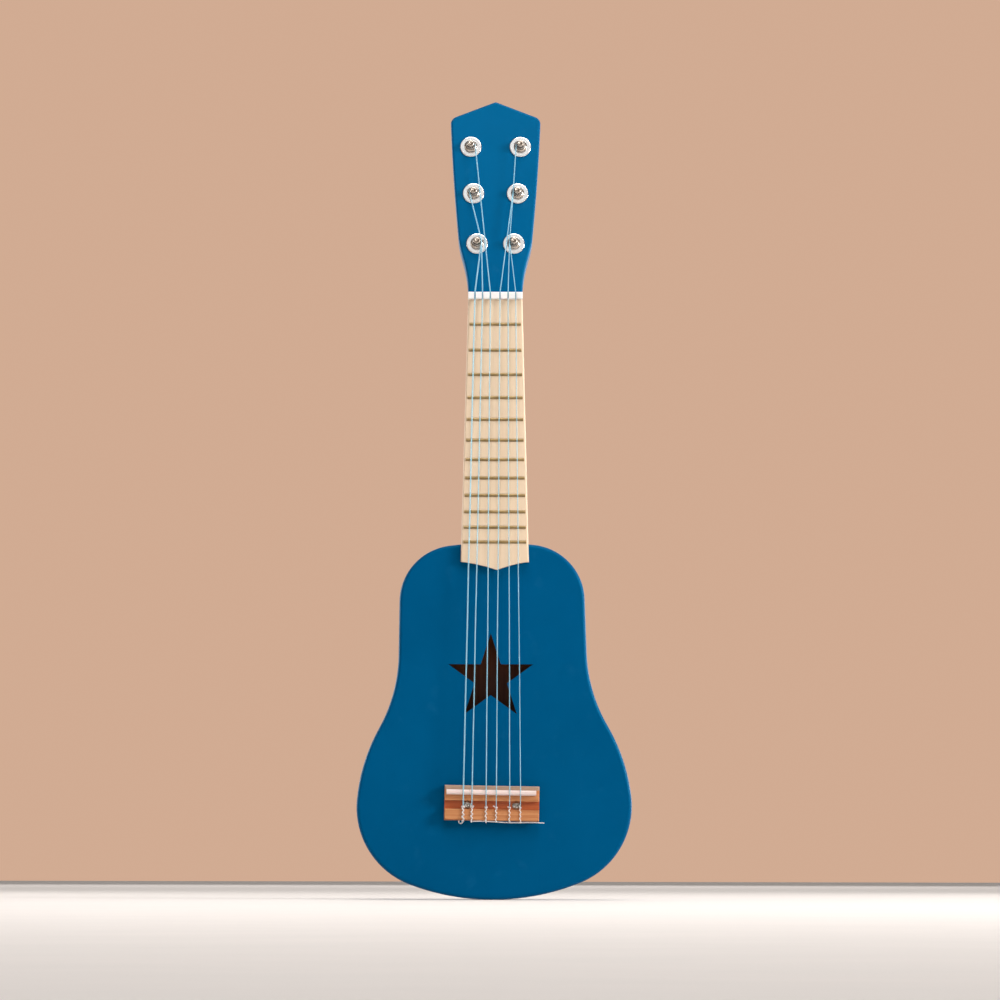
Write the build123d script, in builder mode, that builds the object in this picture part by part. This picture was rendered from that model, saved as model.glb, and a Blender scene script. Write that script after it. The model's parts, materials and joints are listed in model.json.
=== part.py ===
"""A small six-string wooden toy guitar, tail down and strings to the front.

Millimetres and degrees. +Z runs from the tail to the head, the strings are on the -Y side, and
+X is on the right of somebody who looks at the strings. The origin is at the bottom of the body,
on the middle line, half way through the whole depth. Strings and their tuners are numbered from
the treble side, so string 1 is the one furthest to +X.
"""

import os
from math import cos, pi, radians, sin, tan

from build123d import *

# Body shell
FACE_Y = -19.5  # front face of the top plate
BODY_DEPTH = 45.0
PLATE = 3.2  # thickness of the top and back plates
WALL = 3.6  # thickness of the bent sides
BODY_EDGE = 2.4  # rounding of the outer edges of both plates

# Right half of the body's outline from the tail upwards, as arcs of (radius, turn)
TAIL_ARC = (155.0, 21.2)
BOUT_ARCS = ((54.5, 74.8), (120.0, 23.5), (103.0, -28.1))
FLANK = 35.9  # straight stretch of the upper bout
SHOULDER_ARC = (37.7, 81.7)
BODY_TURN, BODY_PIVOT_Z = 0.7, 60.0  # the body sits a little crooked on the neck

# Star-shaped sound hole, a little to the bass side
STAR_X, STAR_Z = -2.5, 145.9
STAR_RADIUS = 29.5

# Blocks, braces and the patch under the bridge
BLOCK_HEIGHT = 18.0
NECK_BLOCK_WIDTH, TAIL_BLOCK_WIDTH = 54.0, 44.0
BRACE_WIDTH, BRACE_DEPTH = 7.0, 6.0
BRACES = {
    "top_brace_upper": (187.0, 108.0),
    "top_brace_lower": (103.0, 144.0),
    "back_brace_upper": (181.0, 108.0),
    "back_brace_lower": (87.0, 154.0),
}
PATCH_WIDTH, PATCH_HEIGHT, PATCH_THICK, PATCH_ROUND = 74.0, 30.0, 2.4, 3.0

# Neck, fretboard and nut
SCALE_LENGTH = 327.8  # from the nut to the middle of the saddle
NUT_Z = 398.0  # edge of the nut where the strings leave it
NUT_THICK = 4.8
NUT_HEIGHT, NUT_ROUND = 6.7, 0.8
BOARD_THICK = 4.0
BOARD_EDGE = 1.1
BOARD_WIDTH_NUT, BOARD_WIDTH_END = 36.2, 45.2
BOARD_END_Z = 222.7
BOARD_TIP_X, BOARD_TIP_Z = 1.4, 217.4
FRET_COUNT = 12
FRET_START = 1.7  # the frets are laid out from a point this far above the nut's edge
FRET_WIDTH, FRET_RISE, FRET_INSET = 2.1, 0.9, 1.5
TANG_WIDTH, TANG_DEPTH = 0.6, 1.6
NECK_SHOULDER = 3.0  # straight part of the neck's sides before the round back
NECK_DEPTH_BODY, NECK_DEPTH_HEAD = 17.0, 14.5
VOLUTE_Z = 379.0  # where the round neck starts to turn into the flat head
HEEL_WIDTH, HEEL_DEPTH, HEEL_FOOT, HEEL_REACH = 31.0, 38.0, 8.0, 32.0
HEEL_SINK = 0.6  # how far the heel's curve starts inside the neck's round back

# Head: x across, y up from the nut along its sloping face, z out of that face
HEAD_TILT = 12.0
HEAD_THICK = 12.0
HEAD_EDGE = 1.6
HEAD_BACK_CROWN = 1.5  # crown of the neck's back where it meets the head
HEAD_FLARE = ((18.1, -6.0), (18.6, 7.9), (21.4, 23.4), (24.7, 38.4))
HEAD_SHOULDER = (30.5, 126.3)
HEAD_BELLY = (27.9, 77.9)
HEAD_APEX = 138.8
HEAD_SHOULDER_ROUND, HEAD_APEX_ROUND = 5.5, 2.5

# Bridge: x across, y up from the saddle's centre line, z out of the body's face
BRIDGE_X, BRIDGE_TURN = -1.5, -0.9  # it is glued on slightly askew
BRIDGE_WIDTH, BRIDGE_HEIGHT = 62.4, 23.0
BRIDGE_LIP = 2.8  # wood between the saddle's slot and the bridge's upper edge
BRIDGE_DEPTH, TROUGH_FLOOR, BRIDGE_EDGE = 6.6, 3.4, 0.7
SADDLE_WIDTH, SADDLE_THICK, SADDLE_TOP, SADDLE_SLOT, SADDLE_ROUND = 59.0, 3.4, 9.6, 3.0, 1.4
SADDLE_SHIFT = -0.4
TIE_BLOCK, TROUGH = 7.5, 5.5  # one above the other from the bridge's lower edge
TIE_HOLE_RADIUS, TIE_HOLE_HEIGHT = 0.75, 4.9
BRIDGE_SCREW_GAP = 32.5

# Screws, as shank radius, head radius and length
BRIDGE_SCREW = (1.5, 2.8, 10.6)
NECK_SCREW = (1.9, 3.6, 34.0)
NECK_SCREW_X, NECK_SCREW_DEPTH = 8.0, 13.0
SCREW_SLACK = 0.1  # radial room where a screw passes through without biting
SINK_ANGLE = 82.0  # full angle of every countersink
RECESS_LENGTH, RECESS_WIDTH, RECESS_DEPTH = 1.3, 0.28, 0.3  # of the crossed recess, in head radii
SCREW_DOME = 0.25  # how far a head rises in its middle, in head radii
BRIDGE_SCREW_TURNS = (30.0, 50.0)

# Tuners: heights are measured from the head's front face, and negative heights are behind it
TUNER_PLACES = {
    1: (12.3, 35.2),
    2: (14.8, 71.4),
    3: (16.7, 105.2),
    4: (-16.7, 105.2),
    5: (-14.8, 71.4),
    6: (-12.3, 35.2),
}
KNOB_TURNS = {1: -6.0, 2: 38.0, 3: -24.0, 4: 17.0, 5: -41.0, 6: 68.0}
FLANGE_RADIUS, FLANGE_THICK = 7.3, 1.0
COLLAR_RADIUS, COLLAR_TOP = 4.45, 3.3
FLANGE_ROUND, COLLAR_ROUND = 0.6, 1.9
BARREL_RADIUS, BARREL_LENGTH = 4.2, 10.0
POST_RADIUS, POST_TOP, POST_FOOT, POST_ROUND = 2.4, 7.0, -24.0, 0.8
POST_SLACK = 0.05  # radial running clearance in the ferrule and the washer
DIMPLE_RADIUS, DIMPLE_DEPTH, DIMPLE_TAPER = 1.5, 1.1, 50.0
POST_EYE, POST_EYE_RISE = 0.55, 0.85  # radius of the eye, and its height over the windings' foot
SQUARE_TOP, SQUARE_SIDE = -13.0, 3.2
WASHER_RADIUS, WASHER_THICK = 5.4, 0.8
KNOB_TOP, KNOB_END = -12.9, -28.0
KNOB_NECK_RADIUS, KNOB_NECK_LENGTH, KNOB_HUB_RADIUS = 4.6, 2.6, 3.5
WING_LENGTH, WING_HEIGHT, WING_THICK, WING_ROUND, WING_RISE = 19.6, 12.4, 4.4, 1.7, 0.4
KNOB_SCREW_HEAD, KNOB_SCREW_SHANK, KNOB_SCREW_BITE = 1.9, 1.0, 7.0
KNOB_SCREW_RECESS, KNOB_SCREW_DOME, KNOB_SCREW_ROUND = 2.0, 1.3, 0.5
KNOB_SLOT_LENGTH, KNOB_SLOT_WIDTH, KNOB_SLOT_DEPTH = 2.4, 0.5, 0.6

# Strings, as diameter, place at the nut and place at the saddle from the bridge's middle
STRINGS = {
    1: (0.65, 13.6, 18.8),
    2: (0.70, 8.5, 11.7),
    3: (0.75, 3.1, 2.9),
    4: (0.80, -3.3, -3.8),
    5: (0.85, -8.5, -13.1),
    6: (1.00, -13.6, -18.8),
}
OUTER_WRAP = 5  # the one string that meets its post on the side away from the middle
LEANS_ON = {2: 1, 3: 2, 5: 6}  # string and the tuner whose post it leans on as it goes by
STRING_HEIGHT_NUT = 5.9  # centre of every string above the plane of the neck's front
NOTCH_GAP, SADDLE_GAP = 0.12, 0.36  # room under a string that bends over the nut and the saddle
NOTCH_SLACK = 0.3  # how much wider than its string a notch is
NUT_RUN = 0.6  # how far inside the nut's edges a string starts to bend
BEND_RADII = (1.0, 1.5, 3.0, 3.0, 5.0)  # at the tie block, saddle, nut and a post leant on
WINDING_FOOT, WINDING_TURNS = 3.55, 2
WINDING_BULGE, WINDING_ROUND = 0.9, 0.35  # how far the turns stand out and their rounding, in diameters
LEAN_GAP = 0.15  # room between a post and a string that leans on it
STRING_STOP = 2.7  # how far short of its post's axis a straight string ends
TAIL_STUB = 1.6  # how far a string comes out of the tie block

BODY_INSIDE = BODY_DEPTH - 2 * PLATE
BACK_Y = FACE_Y + BODY_DEPTH
HEAD_Z = NUT_Z + NUT_THICK
SADDLE_Z = NUT_Z - SCALE_LENGTH
BRIDGE_LOW = SADDLE_THICK / 2 + BRIDGE_LIP - BRIDGE_HEIGHT
BRIDGE_MIDDLE = BRIDGE_LOW + BRIDGE_HEIGHT / 2
TROUGH_MIDDLE = BRIDGE_LOW + TIE_BLOCK + TROUGH / 2
SCREW_PLACES = [(-BRIDGE_SCREW_GAP / 2, TROUGH_MIDDLE), (BRIDGE_SCREW_GAP / 2, TROUGH_MIDDLE)]

BRIDGE = Plane(
    origin=(BRIDGE_X, FACE_Y, SADDLE_Z),
    x_dir=(cos(radians(BRIDGE_TURN)), 0, sin(radians(BRIDGE_TURN))),
    z_dir=(0, -1, 0),
)

HEAD = Plane(
    origin=(0, FACE_Y, HEAD_Z),
    x_dir=(1, 0, 0),
    z_dir=(0, -cos(radians(HEAD_TILT)), sin(radians(HEAD_TILT))),
)


def front_plane(y):
    """Plane that faces the player's side at depth y: its x is X and its y is Z."""
    return Plane(origin=(0, y, 0), x_dir=(1, 0, 0), z_dir=(0, -1, 0))


def bridge_plane(height):
    """The bridge's plane at a height above the body's face."""
    return Plane(origin=BRIDGE.from_local_coords((0, 0, height)), x_dir=BRIDGE.x_dir, z_dir=BRIDGE.z_dir)


def tuner_plane(number, height=0.0):
    """Plane square to a tuner's post, at a height above the head's face."""
    across, along = TUNER_PLACES[number]
    centre = HEAD.from_local_coords((across, along, height))
    return Plane(origin=centre, x_dir=HEAD.x_dir, z_dir=HEAD.z_dir)


def board_width(z):
    """Width of the fretboard and the neck at a height up the neck."""
    share = (NUT_Z - z) / (NUT_Z - BOARD_END_Z)
    return BOARD_WIDTH_NUT + share * (BOARD_WIDTH_END - BOARD_WIDTH_NUT)


def fret_height(number):
    """Height of a fret on a scale of twelve equal steps to the octave."""
    return NUT_Z + FRET_START - SCALE_LENGTH * (1 - 2 ** (-number / 12))


def body_outline():
    """Outline of the body, x across and y up from the lowest point of the tail."""
    with BuildSketch() as outline:
        with BuildLine():
            edge = JernArc((0, 0), (1, 0), *TAIL_ARC)
            for radius, turn in BOUT_ARCS:
                edge = JernArc(edge @ 1, edge % 1, radius, turn)
            flank = Line(edge @ 1, edge @ 1 + (edge % 1) * FLANK)
            shoulder = JernArc(flank @ 1, flank % 1, *SHOULDER_ARC)
            turned = TAIL_ARC[1] + SHOULDER_ARC[1] + sum(turn for _, turn in BOUT_ARCS)
            crown_turn = 180 - turned
            crown_radius = (shoulder @ 1).X / sin(radians(crown_turn))
            JernArc(shoulder @ 1, shoulder % 1, crown_radius, crown_turn)
            mirror(about=Plane.YZ)
        make_face()
    turned = outline.sketch.rotate(Axis((0, BODY_PIVOT_Z, 0), (0, 0, 1)), BODY_TURN)
    return turned.moved(Location((0, -turned.bounding_box().min.Y, 0)))


def inner_outline():
    """Outline of the space inside the sides."""
    with BuildSketch() as inner:
        add(OUTLINE)
        offset(amount=-WALL)
    return inner.sketch


def star_outline():
    """Five-pointed star with one point up, drawn about its own centre."""
    inner = STAR_RADIUS * sin(radians(18)) / sin(radians(54))
    reach = [STAR_RADIUS, inner] * 5
    corners = [
        (r * sin(radians(36 * i)), r * cos(radians(36 * i))) for i, r in enumerate(reach)
    ]
    with BuildSketch() as star:
        with BuildLine():
            Polyline(*corners, close=True)
        make_face()
    return star.sketch


OUTLINE = body_outline()
INNER = inner_outline()
STAR = star_outline()
BODY_TOP = OUTLINE.bounding_box().max.Y


def save(part, name):
    """Label a finished piece and write its STEP file."""
    part.label = name
    export_step(part, f"parts/{name}.step")


# ---------------------------------------------------------------- body shell


def make_top_plate():
    with BuildPart() as plate:
        with BuildSketch(front_plane(FACE_Y)):
            add(OUTLINE)
        extrude(amount=-PLATE)
        fillet(plate.faces().sort_by(Axis.Y)[0].edges(), BODY_EDGE)
        with BuildSketch(front_plane(FACE_Y)):
            with Locations((STAR_X, STAR_Z)):
                add(STAR)
        with BuildSketch(BRIDGE):
            with Locations(*SCREW_PLACES):
                Circle(BRIDGE_SCREW[0] + SCREW_SLACK)
        extrude(amount=-PLATE, mode=Mode.SUBTRACT)
    save(plate.part, "top_plate")


def make_back_plate():
    with BuildPart() as plate:
        with BuildSketch(front_plane(BACK_Y)):
            add(OUTLINE)
        extrude(amount=PLATE)
        fillet(plate.faces().sort_by(Axis.Y)[-1].edges(), BODY_EDGE)
    save(plate.part, "back_plate")


def make_side(name, sign):
    """Half of the bent side, from the middle of the tail to the middle of the crown."""
    with BuildPart() as side:
        with BuildSketch(front_plane(FACE_Y + PLATE)):
            add(OUTLINE)
            add(INNER, mode=Mode.SUBTRACT)
            with Locations((sign * BODY_TOP / 2, BODY_TOP / 2)):
                Rectangle(BODY_TOP, 2 * BODY_TOP, mode=Mode.INTERSECT)
        extrude(amount=-BODY_INSIDE)
        with BuildSketch(Plane.XY.offset(BODY_TOP - BLOCK_HEIGHT)):
            with Locations((sign * NECK_SCREW_X, FACE_Y + NECK_SCREW_DEPTH)):
                Circle(NECK_SCREW[0] + SCREW_SLACK)
        extrude(amount=2 * BLOCK_HEIGHT, mode=Mode.SUBTRACT)
    save(side.part, name)


def make_block(name, width, low, high, screws):
    """Solid block glued inside the sides, which fits the curve of the outline."""
    with BuildPart() as block:
        with BuildSketch(front_plane(FACE_Y + PLATE)):
            add(INNER)
            with Locations((0, (low + high) / 2)):
                Rectangle(width, high - low, mode=Mode.INTERSECT)
        extrude(amount=-BODY_INSIDE)
        if screws:
            with Locations(Plane(origin=(0, FACE_Y + NECK_SCREW_DEPTH, low), z_dir=(0, 0, -1))):
                with Locations((-NECK_SCREW_X, 0), (NECK_SCREW_X, 0)):
                    sink = NECK_SCREW[1] + SCREW_SLACK
                    CounterSinkHole(NECK_SCREW[0] + SCREW_SLACK, sink, high - low, SINK_ANGLE)
    save(block.part, name)


def make_brace(name, height, length):
    """Bar across the inside of a plate, with its inner edges rounded."""
    on_top = name.startswith("top")
    seat = FACE_Y + PLATE if on_top else BACK_Y - PLATE
    with BuildPart() as brace:
        with BuildSketch(front_plane(seat)):
            with Locations((0, height)):
                Rectangle(length, BRACE_WIDTH)
        extrude(amount=-BRACE_DEPTH if on_top else BRACE_DEPTH)
        inner = brace.faces().sort_by(Axis.Y)[-1 if on_top else 0]
        fillet(inner.edges(), BRACE_WIDTH / 4)
    save(brace.part, name)


def make_bridge_patch():
    with BuildPart() as patch:
        with BuildSketch(bridge_plane(-PLATE)):
            with Locations((0, BRIDGE_MIDDLE)):
                RectangleRounded(PATCH_WIDTH, PATCH_HEIGHT, PATCH_ROUND)
            with Locations(*SCREW_PLACES):
                Circle(BRIDGE_SCREW[0], mode=Mode.SUBTRACT)
        extrude(amount=-PATCH_THICK)
    save(patch.part, "bridge_patch")


# ---------------------------------------------------------------- neck and head


def neck_section(z, depth, shoulder=NECK_SHOULDER):
    """Section across the neck: flat to the front, straight shoulders and a round back."""
    half = board_width(z) / 2
    with BuildSketch(Plane(origin=(0, FACE_Y, z), x_dir=(1, 0, 0), z_dir=(0, 0, 1))) as section:
        with BuildLine():
            Polyline((-half, shoulder), (-half, 0), (half, 0), (half, shoulder))
            ThreePointArc((half, shoulder), (0, depth), (-half, shoulder))
        make_face()
    return section.sketch


def head_outline():
    """Outline of the head on its own face: a flare, long gentle sides and a pitched top."""
    with BuildSketch() as outline:
        with BuildLine():
            flare = Spline(*HEAD_FLARE, tangents=((0, 1), (0.12, 1)))
            side = ThreePointArc(flare @ 1, HEAD_BELLY, HEAD_SHOULDER)
            Line(side @ 1, (0, HEAD_APEX))
            Line((0, HEAD_FLARE[0][1]), HEAD_FLARE[0])
            mirror(about=Plane.YZ)
        make_face()
        corners = outline.vertices().group_by(Axis.Y)
        fillet(corners[-1], HEAD_APEX_ROUND)
        fillet(outline.vertices().group_by(Axis.X)[0], HEAD_SHOULDER_ROUND)
        fillet(outline.vertices().group_by(Axis.X)[-1], HEAD_SHOULDER_ROUND)
    return outline.sketch


def make_neck():
    """Neck, heel and head are cut from one piece of wood."""
    head_depth = HEAD_THICK / cos(radians(HEAD_TILT))
    body_end = BODY_TOP - HEEL_FOOT
    foot, neck_back = FACE_Y + HEEL_DEPTH, FACE_Y + NECK_DEPTH_BODY - HEEL_SINK
    flare_shoulder = head_depth - HEAD_BACK_CROWN
    with BuildPart() as neck:
        with BuildSketch(HEAD):
            add(head_outline())
        extrude(amount=-HEAD_THICK)
        faces = neck.faces().filter_by(lambda f: f.area > HEAD_THICK * HEAD_APEX * 2)
        fillet(faces.edges().filter_by(lambda e: e.center().Z > HEAD_Z + HEAD_FLARE[0][1] / 2), HEAD_EDGE)
        split(bisect_by=Plane.XY.offset(HEAD_Z))
        loft([neck_section(VOLUTE_Z, NECK_DEPTH_HEAD), neck_section(HEAD_Z, head_depth, flare_shoulder)])
        loft([neck_section(body_end, NECK_DEPTH_BODY), neck_section(VOLUTE_Z, NECK_DEPTH_HEAD)])
        with BuildSketch(Plane.YZ):
            with BuildLine():
                start = (foot, BODY_TOP + HEEL_FOOT / 2)
                end = (neck_back, BODY_TOP + HEEL_REACH)
                Polyline(start, (foot, body_end), (FACE_Y + NECK_SHOULDER, body_end))
                Polyline((FACE_Y + NECK_SHOULDER, body_end), (FACE_Y + NECK_SHOULDER, end[1]), end)
                TangentArc(end, start, tangent=(0, -1))
            make_face()
        extrude(amount=HEEL_WIDTH / 2, both=True)
        with BuildSketch(front_plane(FACE_Y)):
            add(OUTLINE)
        extrude(amount=-2 * BODY_DEPTH, mode=Mode.SUBTRACT)
        with BuildSketch(HEAD):
            with Locations(*TUNER_PLACES.values()):
                Circle(BARREL_RADIUS)
        extrude(amount=-2 * HEAD_THICK, mode=Mode.SUBTRACT)
        with BuildSketch(Plane.XY.offset(body_end)):
            with Locations((0, FACE_Y + NECK_SCREW_DEPTH)):
                with Locations((-NECK_SCREW_X, 0), (NECK_SCREW_X, 0)):
                    Circle(NECK_SCREW[0])
        extrude(amount=neck_screw_tip() - body_end, mode=Mode.SUBTRACT)
    save(neck.part, "neck")


def neck_screw_tip():
    """Height that the neck screws reach, counted from the underside of the neck block."""
    return BODY_TOP - WALL - BLOCK_HEIGHT + NECK_SCREW[2]


def make_fretboard():
    """Tapered board with a slot for each fret and a pointed end over the body."""
    half_nut, half_end = BOARD_WIDTH_NUT / 2, BOARD_WIDTH_END / 2
    with BuildPart() as board:
        with BuildSketch(front_plane(FACE_Y)):
            with BuildLine():
                Line((-half_nut, NUT_Z), (half_nut, NUT_Z))
                for side in (-1, 1):
                    corner = (side * half_end, BOARD_END_Z)
                    Line((side * half_nut, NUT_Z), corner)
                    Spline(corner, (BOARD_TIP_X, BOARD_TIP_Z), tangents=((-side, -0.1), (-side, -0.34)))
            make_face()
        extrude(amount=BOARD_THICK)
        front = board.faces().sort_by(Axis.Y)[0]
        fillet(front.edges().filter_by(GeomType.LINE).sort_by(SortBy.LENGTH)[-2:], BOARD_EDGE)
        for number in range(1, FRET_COUNT + 1):
            with BuildSketch(front_plane(FACE_Y - BOARD_THICK)):
                with Locations((0, fret_height(number))):
                    Rectangle(board_width(fret_height(number)) - 2 * FRET_INSET, TANG_WIDTH)
            extrude(amount=-TANG_DEPTH, mode=Mode.SUBTRACT)
    save(board.part, "fretboard")


def make_frets():
    """Twelve brass frets, each a low crown with a tang that fills its slot."""
    surface = FACE_Y - BOARD_THICK
    with BuildPart() as frets:
        for number in range(1, FRET_COUNT + 1):
            z = fret_height(number)
            with BuildSketch(Plane.YZ):
                with BuildLine():
                    low, high = (surface, z - FRET_WIDTH / 2), (surface, z + FRET_WIDTH / 2)
                    ThreePointArc(low, (surface - FRET_RISE, z), high)
                    Line(high, low)
                make_face()
                with Locations((surface + TANG_DEPTH / 2, z)):
                    Rectangle(TANG_DEPTH, TANG_WIDTH)
            extrude(amount=board_width(z) / 2 - FRET_INSET, both=True)
    save(frets.part, "frets")


def make_nut():
    """Bar between head and fretboard with a notch for each string."""
    with BuildPart() as nut:
        with BuildSketch(front_plane(FACE_Y)):
            with Locations((0, NUT_Z + NUT_THICK / 2)):
                Rectangle(BOARD_WIDTH_NUT, NUT_THICK)
        extrude(amount=NUT_HEIGHT)
        fillet(nut.faces().sort_by(Axis.Y)[0].edges(), NUT_ROUND)
        for diameter, at_nut, _ in STRINGS.values():
            floor = STRING_HEIGHT_NUT - diameter / 2 - NOTCH_GAP
            with BuildSketch(Plane.XY.offset(NUT_Z)):
                with Locations((at_nut, FACE_Y - floor - NUT_HEIGHT / 2)):
                    Rectangle(diameter + NOTCH_SLACK, NUT_HEIGHT)
            extrude(amount=NUT_THICK, mode=Mode.SUBTRACT)
    save(nut.part, "nut")


# ---------------------------------------------------------------- bridge


def make_bridge():
    """Wooden bridge with a slot for the saddle, a trough for the screws and a tie block."""
    with BuildPart() as bridge:
        with BuildSketch(BRIDGE):
            with Locations((0, BRIDGE_MIDDLE)):
                Rectangle(BRIDGE_WIDTH, BRIDGE_HEIGHT)
        extrude(amount=BRIDGE_DEPTH)
        chamfer(bridge.faces().sort_by(Axis.Y)[0].edges(), BRIDGE_EDGE)
        with BuildSketch(bridge_plane(TROUGH_FLOOR)):
            with Locations((0, TROUGH_MIDDLE)):
                Rectangle(2 * BRIDGE_WIDTH, TROUGH)
        extrude(amount=BRIDGE_DEPTH, mode=Mode.SUBTRACT)
        with BuildSketch(bridge_plane(BRIDGE_DEPTH)):
            with Locations((SADDLE_SHIFT, 0)):
                Rectangle(SADDLE_WIDTH, SADDLE_THICK)
        extrude(amount=-SADDLE_SLOT, mode=Mode.SUBTRACT)
        lower_edge = BRIDGE.from_local_coords((0, BRIDGE_LOW, TIE_HOLE_HEIGHT))
        with BuildSketch(Plane(lower_edge, BRIDGE.x_dir, BRIDGE.y_dir)):
            with Locations(*[(from_middle, 0) for _, _, from_middle in STRINGS.values()]):
                Circle(TIE_HOLE_RADIUS)
        extrude(amount=TIE_BLOCK, mode=Mode.SUBTRACT)
        with Locations(bridge_plane(TROUGH_FLOOR)):
            with Locations(*SCREW_PLACES):
                sink = BRIDGE_SCREW[1] + SCREW_SLACK
                CounterSinkHole(BRIDGE_SCREW[0] + SCREW_SLACK, sink, TROUGH_FLOOR, SINK_ANGLE)
    save(bridge.part, "bridge")


def make_saddle():
    """White bar in the bridge's slot, rounded where the strings cross it."""
    with BuildPart() as saddle:
        with BuildSketch(bridge_plane(BRIDGE_DEPTH - SADDLE_SLOT)):
            with Locations((SADDLE_SHIFT, 0)):
                Rectangle(SADDLE_WIDTH, SADDLE_THICK)
        extrude(amount=SADDLE_TOP - BRIDGE_DEPTH + SADDLE_SLOT)
        fillet(saddle.faces().sort_by(Axis.Y)[0].edges().sort_by(SortBy.LENGTH)[-2:], SADDLE_ROUND)
    save(saddle.part, "saddle")


def screw(plane, shank, head, length):
    """Countersunk screw with a low dome and a crossed recess, its rim flush with a plane."""
    head_depth = (head - shank) / tan(radians(SINK_ANGLE / 2))
    crown = SCREW_DOME * head
    with BuildPart() as made:
        with BuildSketch(Plane.XZ):
            with BuildLine():
                TangentArc((0, crown), (head, 0), tangent=(1, 0))
                Polyline((head, 0), (shank, -head_depth), (shank, shank - length), (0, -length), (0, crown))
            make_face()
        revolve(axis=Axis.Z)
        with BuildSketch(Plane.XY.offset(crown)):
            Rectangle(RECESS_LENGTH * head, RECESS_WIDTH * head)
            Rectangle(RECESS_WIDTH * head, RECESS_LENGTH * head)
        extrude(amount=-RECESS_DEPTH * head, mode=Mode.SUBTRACT)
    return plane * made.part


def make_screws():
    """Two screws that hold the bridge, and two that hold the neck."""
    bridge_screws = []
    for (across, up), turn in zip(SCREW_PLACES, BRIDGE_SCREW_TURNS):
        centre = BRIDGE.from_local_coords((across, up, TROUGH_FLOOR))
        turned = Plane(centre, (cos(radians(turn)), 0, sin(radians(turn))), BRIDGE.z_dir)
        bridge_screws.append(screw(turned, *BRIDGE_SCREW))
    save(Compound(children=bridge_screws), "bridge_screws")
    under_block = BODY_TOP - WALL - BLOCK_HEIGHT
    neck_screws = [
        screw(Plane((x, FACE_Y + NECK_SCREW_DEPTH, under_block), (1, 0, 0), (0, 0, -1)), *NECK_SCREW)
        for x in (-NECK_SCREW_X, NECK_SCREW_X)
    ]
    save(Compound(children=neck_screws), "neck_screws")


# ---------------------------------------------------------------- tuners


def make_ferrule(number):
    """Flanged bush pressed into the head, with a collar round the post."""
    bore = POST_RADIUS + POST_SLACK
    axis = Axis(origin=tuner_plane(number).origin, direction=HEAD.z_dir)
    with BuildPart() as ferrule:
        with BuildSketch(tuner_plane(number, -BARREL_LENGTH)):
            Circle(BARREL_RADIUS)
        extrude(amount=BARREL_LENGTH)
        with BuildSketch(tuner_plane(number)):
            Circle(FLANGE_RADIUS)
        extrude(amount=FLANGE_THICK)
        fillet(ferrule.edges().filter_by(GeomType.CIRCLE).group_by(axis)[-1], FLANGE_ROUND)
        with BuildSketch(tuner_plane(number, FLANGE_THICK)):
            Circle(COLLAR_RADIUS)
        extrude(amount=COLLAR_TOP - FLANGE_THICK)
        fillet(ferrule.edges().filter_by(GeomType.CIRCLE).group_by(axis)[-1], COLLAR_ROUND)
        with BuildSketch(tuner_plane(number, COLLAR_TOP)):
            Circle(bore)
        extrude(amount=-BARREL_LENGTH - COLLAR_TOP, mode=Mode.SUBTRACT)
    save(ferrule.part, f"tuner_ferrule_{number}")


def make_washers():
    """Six washers between the back of the head and the knobs."""
    with BuildPart() as washers:
        for number in TUNER_PLACES:
            with BuildSketch(tuner_plane(number, -HEAD_THICK)):
                Circle(WASHER_RADIUS)
                Circle(POST_RADIUS + POST_SLACK, mode=Mode.SUBTRACT)
            extrude(amount=-WASHER_THICK)
    save(washers.part, "tuner_washers")


def make_post(number):
    """Post with an eye for the string, a dimple in its top and a square foot for the knob."""
    turn = radians(KNOB_TURNS[number])
    plane = tuner_plane(number)
    across = plane.from_local_coords((cos(turn), sin(turn), 0)) - plane.origin
    with BuildPart() as post:
        with BuildSketch(tuner_plane(number, SQUARE_TOP)):
            Circle(POST_RADIUS)
        extrude(amount=POST_TOP - SQUARE_TOP)
        axis = Axis(origin=plane.origin, direction=HEAD.z_dir)
        fillet(post.edges().filter_by(GeomType.CIRCLE).sort_by(axis)[-1], POST_ROUND)
        square = Plane(plane.from_local_coords((0, 0, POST_FOOT)), across, HEAD.z_dir)
        with BuildSketch(square):
            Rectangle(SQUARE_SIDE, SQUARE_SIDE)
        extrude(amount=SQUARE_TOP - POST_FOOT)
        with BuildSketch(tuner_plane(number, POST_TOP)):
            Circle(DIMPLE_RADIUS)
        extrude(amount=-DIMPLE_DEPTH, taper=DIMPLE_TAPER, mode=Mode.SUBTRACT)
        eye_centre = plane.from_local_coords((0, 0, WINDING_FOOT + POST_EYE_RISE))
        with BuildSketch(Plane(eye_centre, HEAD.z_dir, across)):
            Circle(POST_EYE)
        extrude(amount=2 * POST_RADIUS, both=True, mode=Mode.SUBTRACT)
        with BuildSketch(tuner_plane(number, POST_FOOT)):
            Circle(KNOB_SCREW_SHANK)
        extrude(amount=KNOB_SCREW_BITE, mode=Mode.SUBTRACT)
    save(post.part, f"tuner_post_{number}")


def make_winding(number):
    """Turns of string round a post, as one ring that stands just clear of it."""
    diameter = STRINGS[number][0]
    height = WINDING_TURNS * diameter
    outside = POST_RADIUS + WINDING_BULGE * diameter
    with BuildPart() as winding:
        with BuildSketch(tuner_plane(number, WINDING_FOOT)):
            Circle(outside)
        extrude(amount=height)
        fillet(winding.edges(), WINDING_ROUND * diameter)
        with BuildSketch(tuner_plane(number, WINDING_FOOT)):
            Circle(POST_RADIUS + POST_SLACK)
        extrude(amount=height, mode=Mode.SUBTRACT)
    save(winding.part, f"string_winding_{number}")


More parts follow.
